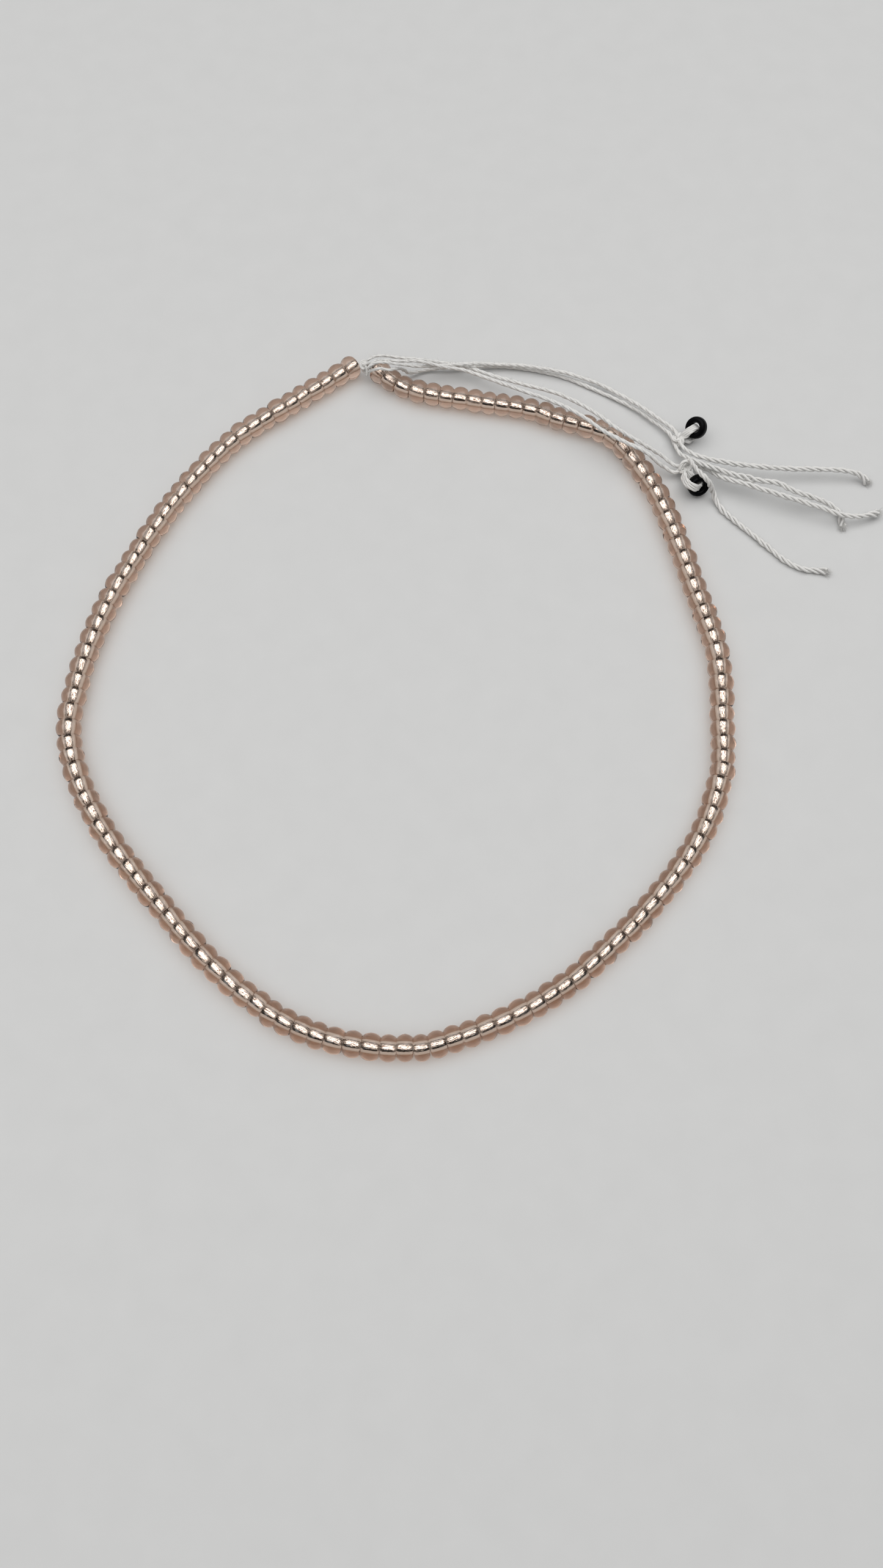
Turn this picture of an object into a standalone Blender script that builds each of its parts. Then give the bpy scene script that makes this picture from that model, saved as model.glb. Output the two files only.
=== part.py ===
"""A beaded anklet of silver-lined rose glass beads, lying untied on a flat surface.

The beads fill one string whose ends nearly meet. The thread comes out there, is tied once, and runs on
as two doubled ties. Each tie is knotted through a black glass bead and ends in two loose tails.
Everything is in metres with +Z up. The surface that the anklet lies on is z = 0, and the origin is
under the middle of the string's outer bounds.
"""

import math
import random

import bmesh
import bpy
from mathutils import Matrix, Vector

# Rose glass beads
BEAD_DIAMETER = 0.0030
BEAD_LENGTH = 0.00191  # on average, along the string
BEAD_LENGTH_SPREAD = 0.12  # a bead is up to this share longer or shorter than the average
BEAD_END_DIAMETER = 0.0021  # where two beads touch
BEAD_ROUNDING = 0.00038  # how far a bead's rounded end reaches along it
BEAD_SIDES = 12

# Thread
THREAD_DIAMETER = 0.00055
THREAD_STEP = 0.00165  # between the points of a tube
THREAD_BEVEL_RESOLUTION = 2

# Black beads at the ends of the ties
BLACK_BEAD_DIAMETER = 0.0028
BLACK_BEAD_LENGTH = 0.0013
BLACK_BEAD_HOLE = 0.0012
BLACK_BEAD_STEPS = 14
BLACK_BEAD_PROFILE_POINTS = 10
BLACK_BEAD_SQUARENESS = 0.75  # 1 gives a round wall, and less a squarer one

# Knots
KNOT_WIDTH = 0.0017
KNOT_STRAND = 0.0004
KNOT_POINTS = 24

CLEARANCE = 0.00015  # between a turn of thread and the bead that it goes through

# The string's centre line seen from above (x, y), from the end at the left of the gap round to the other
STRING_ROUTE = [
    (-0.0060, 0.0447),
    (-0.0144, 0.0385),
    (-0.0215, 0.0330),
    (-0.0276, 0.0251),
    (-0.0320, 0.0172),
    (-0.0364, 0.0067),
    (-0.0384, -0.0030),
    (-0.0384, -0.0083),
    (-0.0365, -0.0141),
    (-0.0324, -0.0208),
    (-0.0258, -0.0287),
    (-0.0185, -0.0363),
    (-0.0094, -0.0422),
    (0.0018, -0.0440),
    (0.0091, -0.0422),
    (0.0176, -0.0381),
    (0.0260, -0.0311),
    (0.0342, -0.0213),
    (0.0378, -0.0127),
    (0.0385, -0.0045),
    (0.0385, 0.0030),
    (0.0368, 0.0101),
    (0.0339, 0.0212),
    (0.0319, 0.0265),
    (0.0276, 0.0332),
    (0.0258, 0.0344),
    (0.0194, 0.0366),
    (0.0174, 0.0375),
    (0.0118, 0.0386),
    (0.0030, 0.0402),
    (-0.0001, 0.0414),
    (-0.0018, 0.0426),
    (-0.0034, 0.0441),
]

# The centre lines of the ties (x, y, z), from the gap in the string to the knots
TIE_ROUTES = {
    "lower_tie_left": [
        (-0.0044, 0.0439, 0.0033),
        (-0.0036, 0.0442, 0.0036),
        (-0.0027, 0.0446, 0.0034),
        (-0.0004, 0.0447, 0.0029),
        (0.0022, 0.0444, 0.0029),
        (0.0051, 0.0448, 0.0018),
        (0.0083, 0.0445, 0.0014),
        (0.0121, 0.0426, 0.0019),
        (0.0154, 0.0409, 0.0026),
        (0.0204, 0.0390, 0.0029),
        (0.0229, 0.0373, 0.0033),
        (0.0253, 0.0352, 0.0037),
        (0.0269, 0.0336, 0.0039),
        (0.0286, 0.0323, 0.0038),
        (0.0305, 0.0313, 0.0034),
        (0.0332, 0.0303, 0.0022),
        (0.0355, 0.0292, 0.0012),
    ],
    "lower_tie_right": [
        (-0.0042, 0.0432, 0.0031),
        (-0.0034, 0.0435, 0.0036),
        (-0.0024, 0.0439, 0.0033),
        (-0.0004, 0.0436, 0.0036),
        (0.0023, 0.0437, 0.0034),
        (0.0055, 0.0434, 0.0027),
        (0.0083, 0.0433, 0.0021),
        (0.0121, 0.0418, 0.0020),
        (0.0154, 0.0394, 0.0032),
        (0.0203, 0.0372, 0.0033),
        (0.0228, 0.0355, 0.0035),
        (0.0242, 0.0344, 0.0035),
        (0.0258, 0.0331, 0.0034),
        (0.0275, 0.0319, 0.0035),
        (0.0292, 0.0308, 0.0036),
        (0.0306, 0.0301, 0.0035),
        (0.0319, 0.0294, 0.0030),
        (0.0329, 0.0290, 0.0022),
        (0.0338, 0.0289, 0.0015),
        (0.0353, 0.0284, 0.0010),
    ],
    "upper_tie_left": [
        (-0.0043, 0.0425, 0.0036),
        (-0.0036, 0.0428, 0.0040),
        (-0.0025, 0.0430, 0.0041),
        (-0.0004, 0.0427, 0.0041),
        (0.0022, 0.0433, 0.0029),
        (0.0055, 0.0441, 0.0021),
        (0.0088, 0.0442, 0.0023),
        (0.0121, 0.0451, 0.0011),
        (0.0156, 0.0449, 0.0011),
        (0.0207, 0.0440, 0.0011),
        (0.0233, 0.0432, 0.0010),
        (0.0260, 0.0423, 0.0007),
        (0.0286, 0.0406, 0.0008),
        (0.0311, 0.0386, 0.0011),
        (0.0336, 0.0364, 0.0012),
        (0.0355, 0.0346, 0.0012),
    ],
    "upper_tie_right": [
        (-0.0042, 0.0426, 0.0027),
        (-0.0035, 0.0424, 0.0034),
        (-0.0026, 0.0423, 0.0037),
        (-0.0016, 0.0422, 0.0036),
        (-0.0008, 0.0424, 0.0035),
        (-0.0002, 0.0428, 0.0031),
        (0.0002, 0.0433, 0.0023),
        (0.0005, 0.0437, 0.0015),
        (0.0009, 0.0439, 0.0009),
        (0.0017, 0.0442, 0.0006),
        (0.0032, 0.0447, 0.0004),
        (0.0051, 0.0449, 0.0006),
        (0.0088, 0.0451, 0.0006),
        (0.0122, 0.0453, 0.0004),
        (0.0157, 0.0451, 0.0003),
        (0.0208, 0.0439, 0.0003),
        (0.0234, 0.0428, 0.0003),
        (0.0260, 0.0414, 0.0003),
        (0.0286, 0.0399, 0.0004),
        (0.0311, 0.0382, 0.0005),
        (0.0334, 0.0361, 0.0006),
        (0.0349, 0.0344, 0.0008),
    ],
}

# The centre lines of the tails (x, y, z), from the knots to the cut ends
TAIL_ROUTES = {
    "upper_tail_left": [
        (0.0363, 0.0323, 0.0012),
        (0.0368, 0.0317, 0.0012),
        (0.0374, 0.0309, 0.0016),
        (0.0387, 0.0301, 0.0018),
        (0.0441, 0.0290, 0.0018),
        (0.0497, 0.0285, 0.0017),
        (0.0536, 0.0285, 0.0016),
        (0.0565, 0.0284, 0.0015),
        (0.0586, 0.0281, 0.0011),
        (0.0599, 0.0274, 0.0005),
    ],
    "upper_tail_right": [
        (0.0357, 0.0321, 0.0008),
        (0.0361, 0.0311, 0.0011),
        (0.0370, 0.0301, 0.0016),
        (0.0402, 0.0280, 0.0024),
        (0.0428, 0.0272, 0.0021),
        (0.0456, 0.0264, 0.0022),
        (0.0480, 0.0260, 0.0022),
        (0.0495, 0.0251, 0.0021),
        (0.0522, 0.0243, 0.0017),
        (0.0546, 0.0236, 0.0010),
        (0.0558, 0.0225, 0.0006),
        (0.0560, 0.0209, 0.0003),
    ],
    "lower_tail_left": [
        (0.0373, 0.0299, 0.0009),
        (0.0380, 0.0295, 0.0010),
        (0.0394, 0.0285, 0.0014),
        (0.0409, 0.0271, 0.0019),
        (0.0443, 0.0257, 0.0022),
        (0.0501, 0.0236, 0.0021),
        (0.0529, 0.0227, 0.0019),
        (0.0557, 0.0218, 0.0016),
        (0.0578, 0.0218, 0.0013),
        (0.0605, 0.0225, 0.0009),
    ],
    "lower_tail_right": [
        (0.0368, 0.0295, 0.0022),
        (0.0371, 0.0284, 0.0029),
        (0.0375, 0.0270, 0.0035),
        (0.0381, 0.0259, 0.0039),
        (0.0387, 0.0255, 0.0034),
        (0.0393, 0.0254, 0.0023),
        (0.0398, 0.0253, 0.0012),
        (0.0402, 0.0246, 0.0006),
        (0.0410, 0.0233, 0.0004),
        (0.0456, 0.0186, 0.0004),
        (0.0485, 0.0158, 0.0004),
        (0.0501, 0.0149, 0.0004),
        (0.0532, 0.0144, 0.0004),
    ],
}

# The middles of the knots (x, y, z)
END_KNOT_AT = (-0.0047, 0.0441, 0.0019)
UPPER_KNOT_AT = (0.0360, 0.0334, 0.0010)
LOWER_KNOT_AT = (0.0366, 0.0287, 0.0010)

# The middles of the black beads, the ways that their holes face and the ways that their threads hold them
UPPER_BLACK_BEAD_AT = (0.0381, 0.0344, 0.0021)
UPPER_BLACK_BEAD_FACES = (-0.61, -0.46, 0.64)
UPPER_BLACK_BEAD_HELD = (-0.53, -0.36, -0.77)
LOWER_BLACK_BEAD_AT = (0.0379, 0.0262, 0.0015)
LOWER_BLACK_BEAD_FACES = (0.20, -0.86, 0.48)
LOWER_BLACK_BEAD_HELD = (-0.87, 0.07, 0.49)

# The turns of thread through the black beads, from the knots and back to them, in a bead's own directions:
# towards the side that is held, across that, and out of the hole. A 1 is just past the rim or the end.
UPPER_BEAD_TURN = [
    (0.82, -0.11, 1.05),
    (0.64, -0.08, 1.03),
    (0.36, -0.05, 0.97),
    (0.02, -0.03, 0.50),
    (-0.06, 0.00, 0.00),
    (0.05, 0.05, -0.60),
    (0.42, 0.15, -1.00),
    (0.85, 0.27, -0.80),
    (1.00, 0.32, -0.30),
    (1.12, 0.30, 0.10),
]
LOWER_BEAD_TURN = [
    (1.10, -0.02, -1.30),
    (1.12, 0.20, -0.50),
    (1.00, 0.25, 0.30),
    (0.74, 0.18, 0.90),
    (0.36, 0.08, 1.00),
    (0.00, 0.00, 0.50),
    (-0.06, 0.00, 0.00),
    (0.05, -0.05, -0.60),
    (0.25, -0.10, -1.10),
    (0.50, -0.20, -1.50),
]


def clear_scene():
    """Start from an empty scene."""
    for thing in list(bpy.data.objects):
        bpy.data.objects.remove(thing, do_unlink=True)


def make_material(name, colour, roughness, metallic=0.0, transmission=0.0):
    material = bpy.data.materials.new(name)
    material.use_nodes = True
    shader = material.node_tree.nodes["Principled BSDF"]
    shader.inputs["Base Color"].default_value = (*colour, 1.0)
    shader.inputs["Roughness"].default_value = roughness
    shader.inputs["Metallic"].default_value = metallic
    shader.inputs["Transmission Weight"].default_value = transmission
    return material


def smooth_route(points, per_stretch=24):
    """A fine line on a smooth curve (a centripetal Catmull-Rom spline) through the points."""
    points = [Vector(point).to_3d() for point in points]
    padded = [2 * points[0] - points[1], *points, 2 * points[-1] - points[-2]]
    line = []
    for a, b, c, d in zip(padded, padded[1:], padded[2:], padded[3:]):
        t1 = (b - a).length ** 0.5
        t2 = t1 + (c - b).length ** 0.5
        t3 = t2 + (d - c).length ** 0.5
        for step in range(per_stretch):
            t = t1 + (t2 - t1) * step / per_stretch
            ab = a.lerp(b, t / t1)
            bc = b.lerp(c, (t - t1) / (t2 - t1))
            cd = c.lerp(d, (t - t2) / (t3 - t2))
            line.append(ab.lerp(bc, t / t2).lerp(bc.lerp(cd, (t - t1) / (t3 - t1)), (t - t1) / (t2 - t1)))
    return [*line, points[-1]]


def distances_along(line):
    """How far along the line each of its points is."""
    distances = [0.0]
    for a, b in zip(line, line[1:]):
        distances.append(distances[-1] + (b - a).length)
    return distances


def points_at(line, wanted):
    """The points of the line at the wanted distances along it, which grow."""
    distances, found, i = distances_along(line), [], 0
    for distance in wanted:
        while i < len(line) - 2 and distances[i + 1] < distance:
            i += 1
        share = (distance - distances[i]) / (distances[i + 1] - distances[i])
        found.append(line[i].lerp(line[i + 1], min(share, 1.0)))
    return found


def evenly_spaced(line, step):
    """Points about step apart, from one end of the line to the other."""
    length = distances_along(line)[-1]
    count = max(2, round(length / step))
    return points_at(line, [length * i / count for i in range(count + 1)])


def make_tube(name, points, diameter, resolution, material, collection, widths=None, cyclic=False):
    """A tube along the points with closed ends. widths are shares of the diameter, one for each point."""
    curve = bpy.data.curves.new(name, "CURVE")
    curve.dimensions = "3D"
    curve.twist_mode = "Z_UP"
    curve.bevel_depth = diameter / 2
    curve.bevel_resolution = resolution
    curve.use_fill_caps = True
    spline = curve.splines.new("POLY")
    spline.points.add(len(points) - 1)
    spline.use_cyclic_u = cyclic
    half_side = math.pi / (4 + 2 * resolution)
    for i, (place, point) in enumerate(zip(points, spline.points)):
        point.co = (*place, 1.0)
        point.radius = widths[i] if widths else 1.0
        point.tilt = half_side  # a flat side faces down, and not an edge
    tube = bpy.data.objects.new(name, curve)
    curve.materials.append(material)
    collection.objects.link(tube)
    return tube


def bead_lengths(string_length):
    """The lengths of the beads that fill the string. Pressed glass beads are never quite alike."""
    count = round(string_length / BEAD_LENGTH)
    chance = random.Random(8)
    shares = [1 + chance.uniform(-BEAD_LENGTH_SPREAD, BEAD_LENGTH_SPREAD) for _ in range(count)]
    return [string_length * share / sum(shares) for share in shares]


def bead_string(material, collection):
    """All the rose beads as one body: a tube that narrows where two beads touch."""
    route = smooth_route([(x, y, BEAD_DIAMETER / 2) for x, y in STRING_ROUTE])
    lengths = bead_lengths(distances_along(route)[-1])
    joints = points_at(route, [sum(lengths[:i]) for i in range(len(lengths) + 1)])
    flats_at_diameter = 1 / math.cos(math.pi / BEAD_SIDES)
    narrow = BEAD_END_DIAMETER / BEAD_DIAMETER * flats_at_diameter
    points, widths = [], []
    for start, end in zip(joints, joints[1:]):
        rounding = (end - start).normalized() * BEAD_ROUNDING
        points += [start, start + rounding, end - rounding]
        widths += [narrow, flats_at_diameter, flats_at_diameter]
    resolution = (BEAD_SIDES - 4) // 2
    return make_tube(
        "bead_string",
        [*points, joints[-1]],
        BEAD_DIAMETER,
        resolution,
        material,
        collection,
        widths=[*widths, narrow],
    )


def black_bead_frame(middle, faces, held):
    """The bead's own axes: X towards the side where its thread holds it, and Z out of its hole."""
    out_of_hole = Vector(faces).normalized()
    aside = out_of_hole.cross(Vector(held)).normalized()
    axes = Matrix((aside.cross(out_of_hole), aside, out_of_hole)).transposed()
    return Matrix.Translation(middle) @ axes.to_4x4()


def black_bead(name, frame, material, collection):
    """A round bead with a hole, turned from the closed outline of its wall."""
    wall_middle = (BLACK_BEAD_DIAMETER + BLACK_BEAD_HOLE) / 4
    half_wall = (BLACK_BEAD_DIAMETER - BLACK_BEAD_HOLE) / 4
    shape = bmesh.new()
    outline = []
    for i in range(BLACK_BEAD_PROFILE_POINTS):
        angle = math.pi / 2 - 2 * math.pi * (i + 0.5) / BLACK_BEAD_PROFILE_POINTS
        across = math.copysign(abs(math.cos(angle)) ** BLACK_BEAD_SQUARENESS, math.cos(angle))
        along = math.copysign(abs(math.sin(angle)) ** BLACK_BEAD_SQUARENESS, math.sin(angle))
        outline.append(shape.verts.new((wall_middle + half_wall * across, 0, BLACK_BEAD_LENGTH / 2 * along)))
    for a, b in zip(outline, [*outline[1:], outline[0]]):
        shape.edges.new((a, b))
    mesh = bpy.data.meshes.new(name)
    shape.to_mesh(mesh)
    shape.free()
    mesh.materials.append(material)
    bead = bpy.data.objects.new(name, mesh)
    bead.matrix_world = frame
    collection.objects.link(bead)
    turned = bead.modifiers.new("turned", "SCREW")
    turned.steps = BLACK_BEAD_STEPS
    turned.render_steps = BLACK_BEAD_STEPS
    turned.use_merge_vertices = True
    turned.merge_threshold = 0.00001
    turned.use_smooth_shade = True
    return bead


def bead_turn(name, turn, frame, material, collection):
    """The thread that goes through a black bead and round one side of its rim."""
    beside_rim = BLACK_BEAD_DIAMETER / 2 + THREAD_DIAMETER / 2 + CLEARANCE
    past_end = BLACK_BEAD_LENGTH / 2 + THREAD_DIAMETER / 2 + CLEARANCE
    reach = Vector((beside_rim, beside_rim, past_end))
    points = [frame @ (reach * Vector(shares)) for shares in turn]
    line = evenly_spaced(smooth_route(points), THREAD_STEP / 2)
    return make_tube(name, line, THREAD_DIAMETER, THREAD_BEVEL_RESOLUTION, material, collection)


def thread_tube(name, route, material, collection):
    line = evenly_spaced(smooth_route(route), THREAD_STEP)
    return make_tube(name, line, THREAD_DIAMETER, THREAD_BEVEL_RESOLUTION, material, collection)


def knot(name, middle, material, collection):
    """An overhand knot, drawn as the closed loop with three crossings that it has at its heart."""
    ring = (KNOT_WIDTH - KNOT_STRAND) / 3
    swing = ring / 2
    points = []
    for i in range(KNOT_POINTS):
        t = 2 * math.pi * i / KNOT_POINTS
        reach = ring + swing * math.cos(3 * t)
        place = Vector((reach * math.cos(2 * t), reach * math.sin(2 * t), swing * math.sin(3 * t)))
        points.append(Vector(middle) + place)
    return make_tube(name, points, KNOT_STRAND, 1, material, collection, cyclic=True)


def build():
    clear_scene()
    anklet = bpy.data.collections.new("beaded_anklet")
    bpy.context.scene.collection.children.link(anklet)
    rose_glass = make_material("rose_glass", (0.62, 0.38, 0.29), 0.12, transmission=0.4)
    white_thread = make_material("white_thread", (0.80, 0.79, 0.76), 0.85)
    black_glass = make_material("black_glass", (0.006, 0.006, 0.007), 0.06)

    bead_string(rose_glass, anklet)
    for name, route in {**TIE_ROUTES, **TAIL_ROUTES}.items():
        thread_tube(name, route, white_thread, anklet)
    knot("end_knot", END_KNOT_AT, white_thread, anklet)
    knot("upper_knot", UPPER_KNOT_AT, white_thread, anklet)
    knot("lower_knot", LOWER_KNOT_AT, white_thread, anklet)
    upper_frame = black_bead_frame(UPPER_BLACK_BEAD_AT, UPPER_BLACK_BEAD_FACES, UPPER_BLACK_BEAD_HELD)
    lower_frame = black_bead_frame(LOWER_BLACK_BEAD_AT, LOWER_BLACK_BEAD_FACES, LOWER_BLACK_BEAD_HELD)
    black_bead("upper_black_bead", upper_frame, black_glass, anklet)
    black_bead("lower_black_bead", lower_frame, black_glass, anklet)
    bead_turn("upper_bead_turn", UPPER_BEAD_TURN, upper_frame, white_thread, anklet)
    bead_turn("lower_bead_turn", LOWER_BEAD_TURN, lower_frame, white_thread, anklet)


build()
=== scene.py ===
# %% [markdown]
# # A beaded anklet lying open
# The anklet is a string of rose glass seed beads with silver-lined holes. It lies untied on a table, so its
# two ends nearly meet. White twisted thread comes out of the gap, runs on as two doubled ties, and each tie
# is knotted through a small black glass bead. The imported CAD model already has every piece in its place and
# at its size. This lesson dresses it: real single beads with holes, thread made of three twisted plies,
# frayed ends, glass, silver and light. Everything is in metres, with +Z up and the table at z = 0.

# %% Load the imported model
import math
import random

import bmesh
import bpy
from mathutils import Matrix, Vector, noise


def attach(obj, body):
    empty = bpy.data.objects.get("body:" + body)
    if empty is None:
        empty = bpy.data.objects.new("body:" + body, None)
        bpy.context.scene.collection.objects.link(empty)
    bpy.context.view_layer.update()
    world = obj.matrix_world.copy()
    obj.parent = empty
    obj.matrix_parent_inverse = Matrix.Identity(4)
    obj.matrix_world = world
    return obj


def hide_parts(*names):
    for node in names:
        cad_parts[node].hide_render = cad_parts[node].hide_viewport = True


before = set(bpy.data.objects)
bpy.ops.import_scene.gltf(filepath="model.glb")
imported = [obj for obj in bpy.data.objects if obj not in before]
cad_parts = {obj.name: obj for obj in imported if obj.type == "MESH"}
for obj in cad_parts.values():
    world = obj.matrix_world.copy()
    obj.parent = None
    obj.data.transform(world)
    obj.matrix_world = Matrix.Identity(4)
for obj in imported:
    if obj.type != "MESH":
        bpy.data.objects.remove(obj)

scene = bpy.context.scene
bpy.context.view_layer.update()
MM = 0.001
print("solids in the model:", len(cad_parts))

# %% [markdown]
# ## The camera
# The picture to match looks down on the anklet at about 71 degrees above the table, from close by, so the
# near beads look larger than the far ones. Two facts fix the camera: how wide a bead is in pixels near the
# top and near the bottom of the frame. They give the tilt and the lens, and the distance then follows from
# the bead's real 3 mm. The lens is kept in pixels here, as it was measured, and turned into millimetres of
# an ordinary 36 mm sensor. The camera needs no shift, because the picture's middle is on its axis.

# %% Stand the camera
FRAME_HEIGHT_PX = 2567
LENS_PX = 1900
SENSOR_MM = 36
CAMERA_ABOVE_TABLE = math.radians(71)
CAMERA_DISTANCE = 134.4 * MM
CAMERA_AIM = Vector((5.29, -13.96, 1.5)) * MM

camera = bpy.data.objects.new("camera", bpy.data.cameras.new("camera"))
scene.collection.objects.link(camera)
camera.data.sensor_fit = "VERTICAL"
camera.data.sensor_height = SENSOR_MM
camera.data.lens = SENSOR_MM * LENS_PX / FRAME_HEIGHT_PX
camera.data.clip_start = 1 * MM
away = Vector((0, -math.cos(CAMERA_ABOVE_TABLE), math.sin(CAMERA_ABOVE_TABLE)))
camera.location = CAMERA_AIM + CAMERA_DISTANCE * away
camera.rotation_euler = (math.pi / 2 - CAMERA_ABOVE_TABLE, 0, 0)
scene.camera = camera
print(f"lens {camera.data.lens:.1f} mm, camera {camera.location.z / MM:.0f} mm above the table")

# %% [markdown]
# ## Smooth lines
# Threads and strings are drawn as a few points. A Catmull-Rom spline passes through every one of
# them, unlike a Bezier curve, whose handles would have to be set as well. The centripetal kind doesn't
# overshoot where points lie close together. The CAD model uses the same spline, so what is built here
# follows the same line as the solid that it replaces.

# %% Draw smooth lines through a few points
def smooth_line(points, per_stretch=24):
    """A fine line on a smooth curve through the points."""
    points = [Vector(point).to_3d() for point in points]
    padded = [2 * points[0] - points[1], *points, 2 * points[-1] - points[-2]]
    line = []
    for a, b, c, d in zip(padded, padded[1:], padded[2:], padded[3:]):
        t1 = (b - a).length ** 0.5
        t2 = t1 + (c - b).length ** 0.5
        t3 = t2 + (d - c).length ** 0.5
        for step in range(per_stretch):
            t = t1 + (t2 - t1) * step / per_stretch
            ab = a.lerp(b, t / t1)
            bc = b.lerp(c, (t - t1) / (t2 - t1))
            cd = c.lerp(d, (t - t2) / (t3 - t2))
            near, far = ab.lerp(bc, t / t2), bc.lerp(cd, (t - t1) / (t3 - t1))
            line.append(near.lerp(far, (t - t1) / (t2 - t1)))
    return [*line, points[-1]]


def distances_along(line):
    """How far along the line each of its points is."""
    distances = [0.0]
    for a, b in zip(line, line[1:]):
        distances.append(distances[-1] + (b - a).length)
    return distances


def points_at(line, wanted):
    """The points of the line at the wanted distances along it, which grow."""
    distances, found, i = distances_along(line), [], 0
    for distance in wanted:
        while i < len(line) - 2 and distances[i + 1] < distance:
            i += 1
        share = (distance - distances[i]) / (distances[i + 1] - distances[i])
        found.append(line[i].lerp(line[i + 1], min(share, 1.0)))
    return found


def evenly_spaced(line, step):
    """Points about step apart, from one end of the line to the other."""
    length = distances_along(line)[-1]
    count = max(2, round(length / step))
    return points_at(line, [length * i / count for i in range(count + 1)])


def across(line, closed=False):
    """Two directions across the line at each of its points, which turn as little as they can along it."""
    count, found = len(line), []
    first = Vector((0, 0, 1))
    for i in range(count):
        before = line[i - 1] if i or closed else line[0]
        after = line[(i + 1) % count] if i < count - 1 or closed else line[-1]
        along = (after - before).normalized()
        first = first - along * first.dot(along)
        if first.length < 1e-6:
            first = along.orthogonal()
        first.normalize()
        found.append((first.copy(), along.cross(first)))
    return found


test_line = smooth_line([(0, 0), (1, 1), (2, 0)])
print("a test line through three points is", round(distances_along(test_line)[-1], 3), "long")

# %% [markdown]
# ## Where the thread runs
# Four strands leave the gap in the string. Two of them make the upper tie and two the lower one. Each
# strand runs to its knot and on past it as a tail with a cut end, so it is one thread some 70 mm long, and
# it is drawn as one. The points are those of the CAD model's tubes, tie first and tail second. A thread is
# a free cord.

# %% Set out the four strands
STRANDS = {
    "lower_left": [
        (-4.4, 43.9, 3.3), (-3.6, 44.2, 3.6), (-2.7, 44.6, 3.4), (-0.4, 44.7, 2.9), (2.2, 44.4, 2.9),
        (5.1, 44.8, 1.8), (8.3, 44.5, 1.4), (12.1, 42.6, 1.9), (15.4, 40.9, 2.6), (20.4, 39.0, 2.9),
        (22.9, 37.3, 3.3), (25.3, 35.2, 3.7), (26.9, 33.6, 3.9), (28.6, 32.3, 3.8), (30.5, 31.3, 3.4),
        (33.2, 30.3, 2.2), (35.5, 29.2, 1.2), (37.3, 29.9, 0.9), (38.0, 29.5, 1.0), (39.4, 28.5, 1.4),
        (40.9, 27.1, 1.9), (44.3, 25.7, 2.2), (50.1, 23.6, 2.1), (52.9, 22.7, 1.9), (55.7, 21.8, 1.6),
        (57.8, 21.8, 1.3), (60.5, 22.5, 0.9),
    ],
    "lower_right": [
        (-4.2, 43.2, 3.1), (-3.4, 43.5, 3.6), (-2.4, 43.9, 3.3), (-0.4, 43.6, 3.6), (2.3, 43.7, 3.4),
        (5.5, 43.4, 2.7), (8.3, 43.3, 2.1), (12.1, 41.8, 2.0), (15.4, 39.4, 3.2), (20.3, 37.2, 3.3),
        (22.8, 35.5, 3.5), (24.2, 34.4, 3.5), (25.8, 33.1, 3.4), (27.5, 31.9, 3.5), (29.2, 30.8, 3.6),
        (30.6, 30.1, 3.5), (31.9, 29.4, 3.0), (32.9, 29.0, 2.2), (33.8, 28.9, 1.5), (35.3, 28.4, 1.0),
        (36.8, 29.5, 2.2), (37.1, 28.4, 2.9), (37.5, 27.0, 3.5), (38.1, 25.9, 3.9), (38.7, 25.5, 3.4),
        (39.3, 25.4, 2.3), (39.8, 25.3, 1.2), (40.2, 24.6, 0.6), (41.0, 23.3, 0.4), (45.6, 18.6, 0.4),
        (48.5, 15.8, 0.4), (50.1, 14.9, 0.4), (53.2, 14.4, 0.4),
    ],
    "upper_left": [
        (-4.3, 42.5, 3.6), (-3.6, 42.8, 4.0), (-2.5, 43.0, 4.1), (-0.4, 42.7, 4.1), (2.2, 43.3, 2.9),
        (5.5, 44.1, 2.1), (8.8, 44.2, 2.3), (12.1, 45.1, 1.1), (15.6, 44.9, 1.1), (20.7, 44.0, 1.1),
        (23.3, 43.2, 1.0), (26.0, 42.3, 0.7), (28.6, 40.6, 0.8), (31.1, 38.6, 1.1), (33.6, 36.4, 1.2),
        (35.5, 34.6, 1.2), (36.3, 32.3, 1.2), (36.8, 31.7, 1.2), (37.4, 30.9, 1.6), (38.7, 30.1, 1.8),
        (44.1, 29.0, 1.8), (49.7, 28.5, 1.7), (53.6, 28.5, 1.6), (56.5, 28.4, 1.5), (58.6, 28.1, 1.1),
        (59.9, 27.4, 0.5),
    ],
    "upper_right": [
        (-4.2, 42.6, 2.7), (-3.5, 42.4, 3.4), (-2.6, 42.3, 3.7), (-1.6, 42.2, 3.6), (-0.8, 42.4, 3.5),
        (-0.2, 42.8, 3.1), (0.2, 43.3, 2.3), (0.5, 43.7, 1.5), (0.9, 43.9, 0.9), (1.7, 44.2, 0.6),
        (3.2, 44.7, 0.4), (5.1, 44.9, 0.6), (8.8, 45.1, 0.6), (12.2, 45.3, 0.4), (15.7, 45.1, 0.3),
        (20.8, 43.9, 0.3), (23.4, 42.8, 0.3), (26.0, 41.4, 0.3), (28.6, 39.9, 0.4), (31.1, 38.2, 0.5),
        (33.4, 36.1, 0.6), (34.9, 34.4, 0.8), (35.7, 32.1, 0.8), (36.1, 31.1, 1.1), (37.0, 30.1, 1.6),
        (40.2, 28.0, 2.4), (42.8, 27.2, 2.1), (45.6, 26.4, 2.2), (48.0, 26.0, 2.2), (49.5, 25.1, 2.1),
        (52.2, 24.3, 1.7), (54.6, 23.6, 1.0), (55.8, 22.5, 0.6), (56.0, 20.9, 0.3),
    ],
}
THREAD_DIAMETER = 0.52 * MM
THREAD_STEP = 0.12 * MM
strand_lines = {}
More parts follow.
